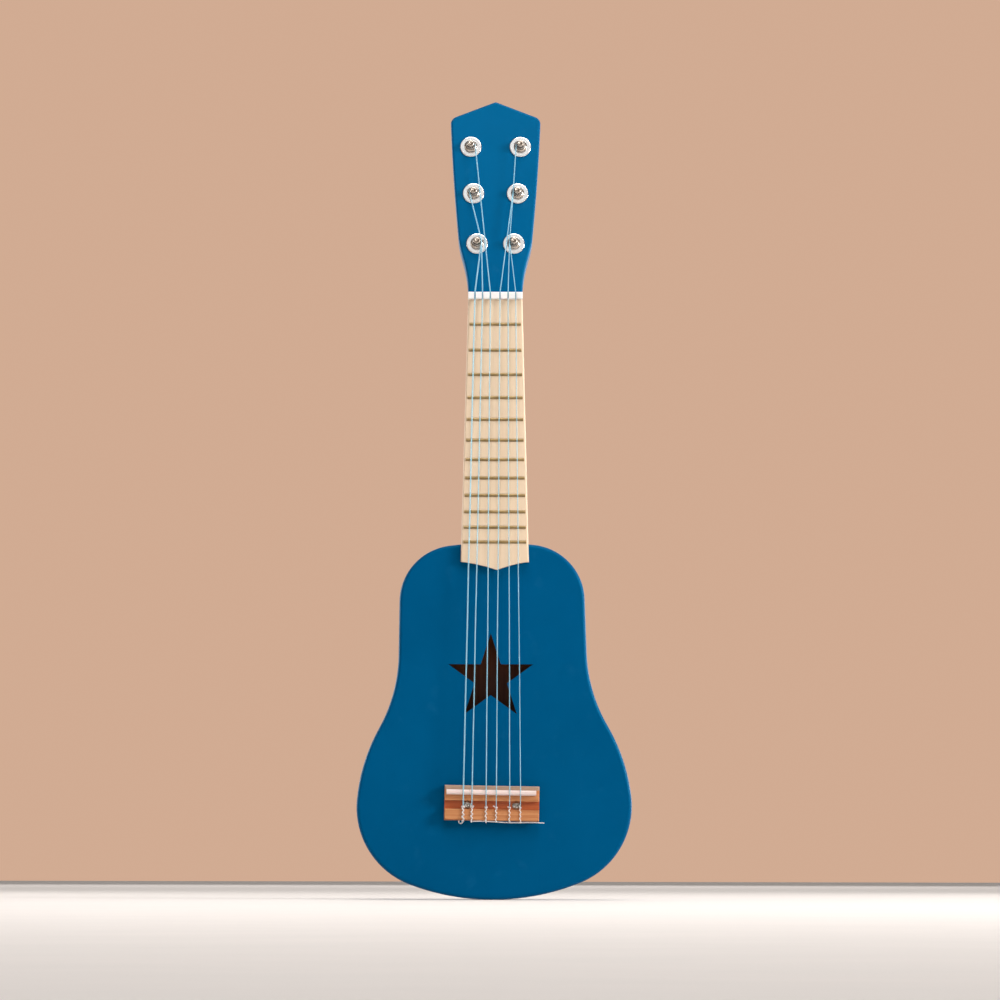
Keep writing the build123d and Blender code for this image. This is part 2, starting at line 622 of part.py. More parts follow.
def make_knob(number):
    """Knob with two wings on a round hub, a square hole for the post and a screw recess."""
    turn = radians(KNOB_TURNS[number])
    plane = tuner_plane(number)
    across = plane.from_local_coords((cos(turn), sin(turn), 0)) - plane.origin
    wing_centre = plane.from_local_coords((0, 0, KNOB_END + WING_HEIGHT / 2 + WING_RISE))
    wing_normal = HEAD.z_dir.cross(across)
    with BuildPart() as knob:
        with BuildSketch(Plane(wing_centre, across, wing_normal)):
            Ellipse(WING_LENGTH / 2, WING_HEIGHT / 2)
        extrude(amount=WING_THICK / 2, both=True)
        fillet(knob.edges(), WING_ROUND)
        with BuildSketch(tuner_plane(number, KNOB_END)):
            Circle(KNOB_HUB_RADIUS)
        extrude(amount=KNOB_TOP - KNOB_END)
        with BuildSketch(tuner_plane(number, KNOB_TOP)):
            Circle(KNOB_NECK_RADIUS)
        extrude(amount=-KNOB_NECK_LENGTH)
        with BuildSketch(Plane(plane.from_local_coords((0, 0, POST_FOOT)), across, HEAD.z_dir)):
            Rectangle(SQUARE_SIDE, SQUARE_SIDE)
        extrude(amount=KNOB_TOP - POST_FOOT, mode=Mode.SUBTRACT)
        with BuildSketch(tuner_plane(number, SQUARE_TOP)):
            Circle(POST_RADIUS)
        extrude(amount=KNOB_TOP - SQUARE_TOP, mode=Mode.SUBTRACT)
        with BuildSketch(tuner_plane(number, KNOB_END)):
            Circle(KNOB_SCREW_HEAD + SCREW_SLACK)
        extrude(amount=KNOB_SCREW_RECESS, mode=Mode.SUBTRACT)
        with BuildSketch(tuner_plane(number, KNOB_END)):
            Circle(KNOB_SCREW_SHANK + SCREW_SLACK)
        extrude(amount=POST_FOOT - KNOB_END, mode=Mode.SUBTRACT)
    save(knob.part, f"tuner_knob_{number}")


def make_knob_screw(number):
    """Small pan-head screw that holds a knob on its post."""
    seat = KNOB_END + KNOB_SCREW_RECESS
    with BuildPart() as made:
        with BuildSketch(tuner_plane(number, seat)):
            Circle(KNOB_SCREW_HEAD)
        extrude(amount=-KNOB_SCREW_DOME)
        axis = Axis(tuner_plane(number).origin, HEAD.z_dir)
        fillet(made.edges().sort_by(axis)[0], KNOB_SCREW_ROUND)
        with BuildSketch(tuner_plane(number, seat)):
            Circle(KNOB_SCREW_SHANK)
        extrude(amount=POST_FOOT - seat + KNOB_SCREW_BITE - KNOB_SCREW_ROUND)
        with BuildSketch(tuner_plane(number, seat - KNOB_SCREW_DOME)):
            Rectangle(KNOB_SLOT_LENGTH, KNOB_SLOT_WIDTH)
            Rectangle(KNOB_SLOT_WIDTH, KNOB_SLOT_LENGTH)
        extrude(amount=KNOB_SLOT_DEPTH, mode=Mode.SUBTRACT)
    save(made.part, f"tuner_knob_screw_{number}")


# ---------------------------------------------------------------- strings


def post_side(number):
    """Which way across the head a string lies from its own post: 1 is towards +X."""
    inward = -1 if TUNER_PLACES[number][0] > 0 else 1
    return -inward if number == OUTER_WRAP else inward


def string_route(number):
    """Corners of a string from the tie block, over the saddle and the nut, to its post."""
    diameter, at_nut, from_middle = STRINGS[number]
    radius = diameter / 2
    nut_y = FACE_Y - STRING_HEIGHT_NUT
    at_bridge = [
        (from_middle, BRIDGE_LOW - TAIL_STUB, TIE_HOLE_HEIGHT),
        (from_middle, BRIDGE_LOW + TIE_BLOCK + BRIDGE_EDGE, TIE_HOLE_HEIGHT),
        (from_middle, 0, SADDLE_TOP + radius + SADDLE_GAP),
    ]
    route = [
        *[tuple(BRIDGE.from_local_coords(place)) for place in at_bridge],
        (at_nut, nut_y, NUT_Z + NUT_RUN),
        (at_nut, nut_y, HEAD_Z - NUT_RUN),
    ]
    if number in LEANS_ON:
        across, along = TUNER_PLACES[LEANS_ON[number]]
        inward = -1 if across > 0 else 1
        post_diameter = STRINGS[LEANS_ON[number]][0]
        above = WINDING_FOOT + WINDING_TURNS * post_diameter + LEAN_GAP + radius
        place = (across + inward * (POST_RADIUS + LEAN_GAP + radius), along, above)
        route.append(tuple(HEAD.from_local_coords(place)))
    across, along = TUNER_PLACES[number]
    place = (
        across + post_side(number) * (POST_RADIUS + radius),
        along - STRING_STOP,
        WINDING_FOOT + diameter,
    )
    route.append(tuple(HEAD.from_local_coords(place)))
    return route


def make_string(number):
    radius = STRINGS[number][0] / 2
    route = string_route(number)
    bends = BEND_RADII[: len(route) - 2]
    with BuildPart() as string:
        with BuildLine() as path:
            FilletPolyline(*route, radius=bends)
        with BuildSketch(Plane(origin=path.line @ 0, z_dir=path.line % 0)):
            Circle(radius)
        sweep()
    save(string.part, f"string_{number}")
    length = sum(edge.length for edge in path.edges())
    by_volume = string.part.volume / (pi * radius**2)
    print(f"string_{number}: {length:.1f} mm long, {by_volume:.1f} by volume")


def main():
    os.makedirs("parts", exist_ok=True)
    make_top_plate()
    make_back_plate()
    make_side("side_left", -1)
    make_side("side_right", 1)
    neck_block_low = BODY_TOP - WALL - BLOCK_HEIGHT
    make_block("neck_block", NECK_BLOCK_WIDTH, neck_block_low, BODY_TOP, True)
    make_block("tail_block", TAIL_BLOCK_WIDTH, 0, WALL + BLOCK_HEIGHT, False)
    for name, (height, length) in BRACES.items():
        make_brace(name, height, length)
    make_bridge_patch()
    make_neck()
    make_fretboard()
    make_frets()
    make_nut()
    make_bridge()
    make_saddle()
    make_screws()
    make_washers()
    for number in TUNER_PLACES:
        make_ferrule(number)
        make_post(number)
        make_winding(number)
        make_knob(number)
        make_knob_screw(number)
        make_string(number)
    print(f"body top {BODY_TOP:.2f}")


main()
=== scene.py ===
"""A small wooden toy guitar: satin blue body and head, pale fretboard, six nylon strings.

The CAD nodes carry the wood, the metal and the knobs. The strings, their turns on the posts and
their ties on the bridge are modelled here along the routes that the CAD solids take.
Everything is in metres, in the CAD frame: the strings are on the -Y side and the head is up.
"""

import json
import math
import random

import bpy
from mathutils import Matrix, Vector


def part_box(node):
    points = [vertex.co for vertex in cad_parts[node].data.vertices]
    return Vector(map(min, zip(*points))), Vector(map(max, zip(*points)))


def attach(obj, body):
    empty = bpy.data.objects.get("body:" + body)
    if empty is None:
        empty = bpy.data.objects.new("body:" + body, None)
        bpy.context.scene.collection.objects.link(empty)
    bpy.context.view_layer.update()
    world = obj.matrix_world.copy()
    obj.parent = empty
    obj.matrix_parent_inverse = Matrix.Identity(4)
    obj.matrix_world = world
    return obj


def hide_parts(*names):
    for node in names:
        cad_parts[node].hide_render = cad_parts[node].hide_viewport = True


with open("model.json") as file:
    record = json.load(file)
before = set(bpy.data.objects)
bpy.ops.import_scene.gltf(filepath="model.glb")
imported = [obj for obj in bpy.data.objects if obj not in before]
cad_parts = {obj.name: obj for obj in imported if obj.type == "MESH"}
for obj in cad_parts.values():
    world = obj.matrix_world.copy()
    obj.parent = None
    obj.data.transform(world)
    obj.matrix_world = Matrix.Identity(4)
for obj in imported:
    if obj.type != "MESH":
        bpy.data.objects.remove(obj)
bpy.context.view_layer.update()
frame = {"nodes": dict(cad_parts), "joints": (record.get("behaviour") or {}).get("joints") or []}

MM = 0.001
GUITAR = "guitar"
TUNERS = range(1, 7)

# Where the main surfaces lie, from the frame
FACE_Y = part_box("top_plate")[0].y
SADDLE_LOW, SADDLE_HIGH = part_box("saddle")
NUT_LOW, NUT_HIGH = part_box("nut")
PINS = {int(joint["name"].split("_")[1]): joint for joint in frame["joints"]}
HEAD_NORMAL = Vector(PINS[1]["axis"]).normalized()
ACROSS = Vector((1, 0, 0))
ALONG = HEAD_NORMAL.cross(ACROSS)
BODY_MIDDLE = (0.0, 0.0, 110 * MM)

# Strings: diameter, place at the nut and place at the saddle from the bridge's middle
STRINGS = {
    1: (0.65 * MM, 13.6 * MM, 18.8 * MM),
    2: (0.70 * MM, 8.5 * MM, 11.7 * MM),
    3: (0.75 * MM, 3.1 * MM, 2.9 * MM),
    4: (0.80 * MM, -3.3 * MM, -3.8 * MM),
    5: (0.85 * MM, -8.5 * MM, -13.1 * MM),
    6: (1.00 * MM, -13.6 * MM, -18.8 * MM),
}

# How the strings run: out from the face at the nut, over the saddle, straying a little at the
# stations between the two, and round their bends. Then the radii of the loose ends.
STRING_HEIGHT_NUT, SADDLE_GAP = 5.9 * MM, 0.1 * MM
STRING_STATIONS, STRING_SWAY = 9, 0.16 * MM
STRING_BEND = 1.6 * MM
CURL_RADIUS, TAIL_RADIUS = 0.42 * MM, 0.36 * MM

# Tuners: the side of its post that a string meets, the tuner whose winding it leans on, and the
# post, winding and flange with their gaps, up from the head's face
POST_SIDE = {1: -1, 2: -1, 3: -1, 4: 1, 5: -1, 6: 1}
LEANS_ON = {2: 1, 3: 2, 5: 6}
POST_RADIUS, POST_GAP, LEAN_GAP = 2.4 * MM, 0.08 * MM, 0.15 * MM
WINDING_FOOT, WINDING_TURNS = 3.55 * MM, 2
# Above the flange's top the tuner metal fades, over the second of these, into a painted reflection of
# the dim room.
FLANGE_TOP, REFLECTION_PAINT_FADE = 1.05 * MM, 0.4 * MM

# Bridge: its middle, its turn in degrees, and its parts up from the saddle's centre line
# or out from the body's face
BRIDGE_X, BRIDGE_TURN = -1.5 * MM, -0.9
BRIDGE_HALF, BRIDGE_LOW, BRIDGE_DEPTH = 31.2 * MM, -18.5 * MM, 6.6 * MM
TIE_BLOCK, TIE_HOLE_HEIGHT = 7.5 * MM, 4.9 * MM
TROUGH_FLOOR, TROUGH = 3.4 * MM, 5.5 * MM
SADDLE_EDGE = 1.7 * MM

# Camera: a long lens near the floor, a little below the middle of the face, turned in degrees
CAMERA_PLACE = Vector((-1.6 * MM, -2.6, 12.9 * MM))
CAMERA_PITCH, CAMERA_YAW, CAMERA_ROLL = 5.56, 0.111, 0.114
SENSOR = 36.0
LENS = 3.905 * SENSOR

# The room, in linear colour: what the camera sees, what lights the scene and what gloss reflects
WALL = (0.64, 0.41, 0.29)
AMBIENT = (0.36, 0.34, 0.325)
ROOM_BACK = (1.25, 1.2, 1.15)
ROOM_DIM = (0.25, 0.21, 0.18)
ROOM_BRIGHT = (0.86, 0.86, 0.86)
HIGH_IN_FRONT = (0.0, -0.82, 0.57)
FLOOR_REACH = 30.0

# Lights: place, what they shine at, width, power in watts and colour
LIT_MIDDLE = (0.0, 0.0, 0.25)
FLOOR_BEHIND = (0.0, 3.0, 0.0)
LIGHTS = {
    "key": ((2.3, -1.3, 0.95), LIT_MIDDLE, 0.8, 63.0, (1.0, 0.98, 0.95)),
    "top": ((0.2, -0.9, 2.0), LIT_MIDDLE, 1.2, 24.0, (1.0, 0.98, 0.96)),
    "rim_left": ((-1.6, 0.7, 0.5), LIT_MIDDLE, 0.8, 14.0, (1.0, 0.97, 0.94)),
    "rim_right": ((1.5, 0.9, 0.3), LIT_MIDDLE, 0.8, 14.0, (1.0, 0.97, 0.94)),
    "behind": ((0.0, 5.5, 3.0), FLOOR_BEHIND, 4.0, 70.0, (1.0, 0.97, 0.95)),
}

# Wood, as its light, middle and dark tones
# The wood inside the body is darker than the blocks' wood: painted shade laid over its own grain.
INSIDE_WOOD_PAINTED_SHADE = (0.32, 0.09, 0.018), (0.25, 0.065, 0.012), (0.16, 0.04, 0.008)
BLOCK_WOOD = (0.44, 0.21, 0.06), (0.36, 0.16, 0.045), (0.24, 0.10, 0.025)
BOARD_WOOD = (0.71, 0.56, 0.405), (0.685, 0.525, 0.372), (0.64, 0.47, 0.325)
BRIDGE_WOOD = (0.55, 0.25, 0.10), (0.44, 0.165, 0.053), (0.27, 0.08, 0.022)
ALONG_X, ALONG_Z = 0, 2

# Most values of a noise lie between these
NOISE_LOW, NOISE_HIGH = 0.3, 0.7

# Sockets of a mix node that is set to colours
MIX_SHARE, MIX_FIRST, MIX_SECOND, MIX_RESULT = 0, 6, 7, 2


# ---------------------------------------------------------------- nodes


class Nodes:
    """A node tree, with one short call for each kind of node."""

    def __init__(self, owner, coordinates):
        owner.use_nodes = True
        self.tree = owner.node_tree
        self.place = self.add("ShaderNodeTexCoord").outputs[coordinates]

    def add(self, kind, **settings):
        node = self.tree.nodes.new(kind)
        for key, value in settings.items():
            setattr(node, key, value)
        return node

    def link(self, source, target):
        self.tree.links.new(source, target)

    def feed(self, value, target):
        """Link a socket to the target, or give the target a plain value."""
        if isinstance(value, bpy.types.NodeSocket):
            self.link(value, target)
        else:
            target.default_value = value

    def stretched(self, scale):
        """Coordinates with a scale for each axis."""
        mapping = self.add("ShaderNodeMapping")
        mapping.inputs["Scale"].default_value = scale
        self.link(self.place, mapping.inputs["Vector"])
        return mapping.outputs["Vector"]

    def noise(self, scale, detail=3.0, roughness=0.5, distortion=0.0):
        """Noise at a scale, which is one number or one for each axis, in 1/m."""
        node = self.add("ShaderNodeTexNoise")
        even = isinstance(scale, (int, float))
        self.link(self.place if even else self.stretched(scale), node.inputs["Vector"])
        node.inputs["Scale"].default_value = scale if even else 1.0
        node.inputs["Detail"].default_value = detail
        node.inputs["Roughness"].default_value = roughness
        node.inputs["Distortion"].default_value = distortion
        return node.outputs["Fac"]

    def ramp(self, source, stops):
        """Colour that follows a value through stops, each as (value, colour)."""
        node = self.add("ShaderNodeValToRGB")
        ends = node.color_ramp.elements
        while len(ends) < len(stops):
            ends.new(0.5)
        for element, (position, colour) in zip(ends, stops):
            element.position = position
            element.color = (*colour, 1.0)
        self.link(source, node.inputs["Fac"])
        return node.outputs["Color"]

    def shades(self, noise, dark, light):
        """Colour that goes from dark to light with a noise."""
        return self.ramp(noise, ((NOISE_LOW, dark), (NOISE_HIGH, light)))

    def spread(self, source, low, high, source_low=NOISE_LOW, source_high=NOISE_HIGH):
        """Source values from one range turned into another range."""
        node = self.add("ShaderNodeMapRange")
        node.inputs["From Min"].default_value = source_low
        node.inputs["From Max"].default_value = source_high
        node.inputs["To Min"].default_value = low
        node.inputs["To Max"].default_value = high
        self.link(source, node.inputs["Value"])
        return node.outputs["Result"]

    def maths(self, operation, first, second):
        """One calculation with two values, of which the second may be a plain number."""
        node = self.add("ShaderNodeMath", operation=operation)
        self.link(first, node.inputs[0])
        self.feed(second, node.inputs[1])
        return node.outputs["Value"]

    def dot(self, first, second):
        """Dot product of two vectors, of which the second may be plain numbers."""
        node = self.add("ShaderNodeVectorMath", operation="DOT_PRODUCT")
        self.link(first, node.inputs[0])
        self.feed(second, node.inputs[1])
        return node.outputs["Value"]

    def mixed(self, share, first, second, blend="MIX"):
        """Two colours mixed by a share. Each is a socket or a plain colour."""
        node = self.add("ShaderNodeMix", data_type="RGBA", blend_type=blend)
        self.link(share, node.inputs[MIX_SHARE])
        for colour, socket in ((first, MIX_FIRST), (second, MIX_SECOND)):
            self.feed((*colour, 1.0) if isinstance(colour, tuple) else colour, node.inputs[socket])
        return node.outputs[MIX_RESULT]


class Surface(Nodes):
    """The node tree of a new material."""

    def __init__(self, name):
        self.material = bpy.data.materials.new(name)
        super().__init__(self.material, "Object")
        self.shader = self.tree.nodes["Principled BSDF"]

    def bump(self, *layers):
        """Bumps laid over each other, each as (height, strength, distance)."""
        normal = None
        for height, strength, distance in layers:
            node = self.add("ShaderNodeBump")
            node.inputs["Strength"].default_value = strength
            node.inputs["Distance"].default_value = distance
            self.link(height, node.inputs["Height"])
            if normal:
                self.link(normal, node.inputs["Normal"])
            normal = node.outputs["Normal"]
        self.link(normal, self.shader.inputs["Normal"])

    def finish(self, colour, roughness, **fixed):
        """Connect colour and roughness, set the fixed sockets by name and give the material."""
        self.link(colour, self.shader.inputs["Base Color"])
        self.link(roughness, self.shader.inputs["Roughness"])
        for name, value in fixed.items():
            self.shader.inputs[name.replace("_", " ")].default_value = value
        return self.material


# ---------------------------------------------------------------- materials


def wood_grain(n, along, tones, pitch=260.0, waviness=0.6, fleck=0.22):
    """Colour, broad grain and pores of planed wood whose grain runs along axis 0, 1 or 2."""
    light, middle, dark = tones

    def scale(cross, length):
        return tuple(length if axis == along else cross for axis in range(3))

    broad = n.noise(scale(pitch, pitch / 55), 5.0, 0.62, waviness)
    colour = n.ramp(broad, ((0.28, dark), (0.46, middle), (0.72, light)))
    pores = n.noise(scale(pitch * 6, pitch / 9), 2.0, 0.5)
    flecks = n.spread(pores, 0.0, fleck, 0.56, 0.74)
    return n.mixed(flecks, colour, dark), broad, pores


def faces_inward(n, inside):
    """1 on the faces that look in a direction, or for "radial" towards the body's middle, else 0."""
    normal = n.add("ShaderNodeNewGeometry").outputs["Normal"]
    if inside != "radial":
        return n.maths("GREATER_THAN", n.dot(normal, inside), 0.5)
    outward = n.add("ShaderNodeVectorMath", operation="SUBTRACT")
    n.link(n.place, outward.inputs[0])
    outward.inputs[1].default_value = BODY_MIDDLE
    return n.maths("LESS_THAN", n.dot(normal, outward.outputs["Vector"]), 0.0)


def blue_paint(name, inside=None, painted_shade_scale=0.86):
    """Satin blue paint over wood. inside is a direction, or "radial", whose faces stay bare."""
    n = Surface(name)
    # The blue is scaled down by the last argument as painted shade: the body's parts take a darker copy
    # than the neck and head.
    low, high = (
        (0.0, 0.074 * painted_shade_scale, 0.196 * painted_shade_scale),
        (0.0, 0.083 * painted_shade_scale, 0.218 * painted_shade_scale),
    )
    colour = n.ramp(n.noise(14.0, 3.0, 0.55), ((0.32, low), (0.68, high)))
    rubbed = n.spread(n.noise(90.0, 3.0, 0.6), 0.0, 0.10, 0.60, 0.80)
    colour = n.mixed(rubbed, colour, (0.03, 0.16, 0.33))
    if inside is not None:
        # The bare inside faces take this wood, darkened by painted shade.
        wood, _, _ = wood_grain(n, ALONG_Z, INSIDE_WOOD_PAINTED_SHADE, pitch=180.0)
        colour = n.mixed(faces_inward(n, inside), colour, wood)
    grain = n.noise((230.0, 230.0, 7.0), 4.0, 0.6, 0.5)
    peel = n.noise(1300.0, 1.0, 0.4)
    n.bump((grain, 0.10, 0.25 * MM), (peel, 0.05, 0.05 * MM))
    roughness = n.spread(n.noise(60.0, 3.0, 0.6), 0.34, 0.46)
    tint = (0.0, 0.60, 0.88, 1.0)
    return n.finish(colour, roughness, Specular_IOR_Level=0.3, Specular_Tint=tint)


def bare_wood():
    n = Surface("bare_wood")
    colour, broad, pores = wood_grain(n, ALONG_X, BLOCK_WOOD)
    n.bump((broad, 0.2, 0.2 * MM), (pores, 0.2, 0.1 * MM))
    return n.finish(colour, n.spread(broad, 0.6, 0.75), Specular_IOR_Level=0.15)


def pale_board():
    n = Surface("pale_board")
    colour, broad, pores = wood_grain(n, ALONG_Z, BOARD_WOOD, pitch=300.0, waviness=0.05)
    n.bump((broad, 0.12, 0.12 * MM), (pores, 0.15, 0.06 * MM))
    return n.finish(colour, n.spread(broad, 0.42, 0.55), Coat_Weight=0.08, Coat_Roughness=0.35)


def bridge_axes(n):
    """Coordinates that are straight with the bridge, from the middle of its saddle line."""
    straight = n.add("ShaderNodeMapping", vector_type="TEXTURE")
    straight.inputs["Location"].default_value = bridge_point(0, 0, 0)
    straight.inputs["Rotation"].default_value = (0.0, math.radians(-BRIDGE_TURN), 0.0)
    n.link(n.place, straight.inputs["Vector"])
    axes = n.add("ShaderNodeSeparateXYZ")
    n.link(straight.outputs["Vector"], axes.inputs["Vector"])
    return axes.outputs


def bridge_wood():
    """Reddish wood with its grain across the body, with painted shade darkening the trough's floor,
    and greyer above the saddle."""
    n = Surface("bridge_wood")
    colour, broad, pores = wood_grain(n, ALONG_X, BRIDGE_WOOD, pitch=420.0, waviness=0.8, fleck=0.5)
    axes = bridge_axes(n)
    low, edge, rise = BRIDGE_LOW + TIE_BLOCK, 0.05 * MM, 0.25 * MM
    # The trough's floor is multiplied darker: painted shade for the recess between the saddle and the
    # tie block.
    on_floor = n.maths("GREATER_THAN", axes["Y"], -TROUGH_FLOOR - rise)
    above_low = n.maths("GREATER_THAN", axes["Z"], low - edge)
    below_high = n.maths("LESS_THAN", axes["Z"], low + TROUGH + edge)
    trough = n.maths("MULTIPLY", on_floor, n.maths("MULTIPLY", above_low, below_high))
    colour = n.mixed(n.maths("MULTIPLY", trough, 0.9), colour, (0.92, 0.43, 0.19), "MULTIPLY")
    strip = n.maths("GREATER_THAN", axes["Z"], SADDLE_EDGE)
    colour = n.mixed(n.maths("MULTIPLY", strip, 0.85), colour, (0.33, 0.24, 0.18))
    n.bump((broad, 0.25, 0.15 * MM), (pores, 0.3, 0.08 * MM))
    return n.finish(colour, n.spread(broad, 0.42, 0.6))


def brass():
    n = Surface("fret_brass")
    brushed = n.noise((120.0, 2500.0, 2500.0), 3.0, 0.6)
    colour = n.shades(n.noise(260.0, 3.0), (0.23, 0.16, 0.07), (0.35, 0.25, 0.12))
    n.bump((brushed, 0.2, 0.03 * MM))
    return n.finish(colour, n.spread(brushed, 0.34, 0.52), Metallic=0.9)


def plastic(name, dark, light, roughness):
    """Moulded plastic with a faint cloudiness and a little depth under its skin."""
    n = Surface(name)
    cloud = n.noise(240.0, 3.0, 0.55)
    skin = n.noise(2600.0, 2.0, 0.5)
    n.bump((skin, 0.06, 0.03 * MM))
    rough = n.spread(cloud, roughness - 0.05, roughness + 0.06)
    colour = n.shades(cloud, dark, light)
    return n.finish(colour, rough, Subsurface_Weight=0.12, Subsurface_Scale=1.2 * MM)


def scratched(n):
    """Fine scratches across the metal, as a noise that is also laid on as a bump."""
    scratches = n.noise((900.0, 3200.0, 3200.0), 4.0, 0.65)
    n.bump((scratches, 0.05, 0.02 * MM))
    return scratches


def screw_steel():
    n = Surface("screw_steel")
    colour = n.shades(n.noise(420.0, 2.0), (0.36, 0.33, 0.30), (0.66, 0.62, 0.57))
    return n.finish(colour, n.spread(scratched(n), 0.14, 0.24), Metallic=1.0)


def tuner_metal():
    """Bright plating on the flanges against the head. Above them it is rougher, and darker brown
    as a painted reflection of the dim room.
    """
    n = Surface("tuner_chrome")
    flange = HEAD_NORMAL.dot(Vector(PINS[1]["pos_m"])) + FLANGE_TOP
    above = n.spread(n.dot(n.place, HEAD_NORMAL), 0.0, 1.0, flange, flange + REFLECTION_PAINT_FADE)
    cloud = n.noise(420.0, 2.0)
    plated = n.shades(cloud, (0.76, 0.75, 0.74), (0.88, 0.87, 0.86))
    # The darker brown on the collars and posts is a painted reflection of the dim room.
    painted_room_reflection = n.shades(cloud, (0.42, 0.365, 0.31), (0.53, 0.47, 0.41))
    rough = n.maths("ADD", n.spread(scratched(n), 0.10, 0.18), n.maths("MULTIPLY", above, 0.14))
    return n.finish(n.mixed(above, plated, painted_room_reflection), rough, Metallic=1.0)


def nylon(name, dark, light, clearness):
    """Nylon line, milky or clearer, with a soft highlight."""
    n = Surface(name)
    along = n.noise((600.0, 600.0, 90.0), 3.0, 0.6)
    n.bump((along, 0.15, 0.05 * MM))
    rough = n.spread(along, 0.2, 0.3)
    return n.finish(n.shades(along, dark, light), rough, Alpha=1.0 - clearness, Specular_IOR_Level=0.2)


def floor_material():
    n = Surface("floor")
    mottle = n.noise(16.0, 4.0, 0.6)
    fine = n.noise(700.0, 3.0, 0.6)
    colour = n.shades(mottle, (0.76, 0.72, 0.695), (0.795, 0.75, 0.725))
    n.bump((fine, 0.15, 0.2 * MM))
    return n.finish(colour, n.spread(mottle, 0.72, 0.84), Specular_IOR_Level=0.15)


def dress_cad_nodes():
    """Give every CAD node its material."""
    wood = bare_wood()
    chrome = tuner_metal()
    steel = screw_steel()
    white = plastic("knob_plastic", (0.80, 0.80, 0.78), (0.86, 0.86, 0.84), 0.28)
    looks = {
        "top_plate": blue_paint("blue_paint_top", (0.0, 1.0, 0.0)),
        "back_plate": blue_paint("blue_paint_back", (0.0, -1.0, 0.0)),
        # The neck and head keep the full blue; the body's copies of this paint are darker as painted
        # shade.
        "neck": blue_paint("blue_paint_neck", painted_shade_scale=1.0),
        "fretboard": pale_board(),
        "frets": brass(),
        "nut": plastic("nut_plastic", (0.73, 0.72, 0.72), (0.78, 0.77, 0.77), 0.4),
        "saddle": plastic("saddle_plastic", (0.69, 0.56, 0.52), (0.73, 0.59, 0.55), 0.4),
        "bridge": bridge_wood(),
        "bridge_screws": steel,
        "neck_screws": steel,
        "tuner_washers": chrome,
        "bridge_patch": wood,
    }
    side = blue_paint("blue_paint_sides", "radial")
    looks |= {"side_left": side, "side_right": side}
    for node in frame["nodes"]:
        if "block" in node or "brace" in node:
            looks[node] = wood
        elif node.startswith(("tuner_ferrule", "tuner_post")):
            looks[node] = chrome
        elif node.startswith("tuner_knob_screw"):
            looks[node] = steel
        elif node.startswith("tuner_knob"):
            looks[node] = white
    for node, material in looks.items():
        slots = frame["nodes"][node].data.materials
        slots.clear()
        slots.append(material)


# ---------------------------------------------------------------- strings


def head_point(tuner, across, along, height):
    """Point on the head from where a tuner's post leaves its face."""
    foot = Vector(PINS[tuner]["pos_m"])
    return foot + across * ACROSS + along * ALONG + height * HEAD_NORMAL


def bridge_point(across, up, out):
    """Point on the bridge: across it, up from the saddle's centre line and out of the body."""
    turn = math.radians(BRIDGE_TURN)
    middle = Vector((BRIDGE_X, FACE_Y, (SADDLE_LOW.z + SADDLE_HIGH.z) / 2))
    sideways = Vector((math.cos(turn), 0, math.sin(turn)))
    upwards = Vector((-math.sin(turn), 0, math.cos(turn)))
    return middle + across * sideways + up * upwards + Vector((0, -out, 0))


def eased(points, radius, steps=4):
    """The same line with each corner turned into a short curve."""
    line = [points[0]]
    for before, corner, after in zip(points, points[1:], points[2:]):
        back, ahead = before - corner, after - corner
        reach = min(radius, back.length * 0.45, ahead.length * 0.45)
        start, end = corner + back.normalized() * reach, corner + ahead.normalized() * reach
        for i in range(steps + 1):
            t = i / steps
            line.append(start * (1 - t) ** 2 + corner * 2 * t * (1 - t) + end * t**2)
    line.append(points[-1])
    return line


def wire(name, points, radius, material):
    """Round wire along a line of points, as a mesh with closed ends."""
    data = bpy.data.curves.new(name, "CURVE")
    data.dimensions = "3D"
    data.bevel_depth = radius
    data.bevel_resolution = 4
    data.use_fill_caps = True
    spline = data.splines.new("POLY")
    spline.points.add(len(points) - 1)
    for point, at in zip(spline.points, points):
        point.co = (*at, 1.0)
    curve = bpy.data.objects.new(name + "_curve", data)
    bpy.context.scene.collection.objects.link(curve)
    bpy.context.view_layer.update()
    mesh = bpy.data.meshes.new_from_object(curve.evaluated_get(bpy.context.evaluated_depsgraph_get()))
    bpy.data.objects.remove(curve)
    bpy.data.curves.remove(data)
    mesh.name = name
    mesh.materials.clear()
    mesh.materials.append(material)
    for polygon in mesh.polygons:
        polygon.use_smooth = True
    piece = bpy.data.objects.new(name, mesh)
    bpy.context.scene.collection.objects.link(piece)
    return piece


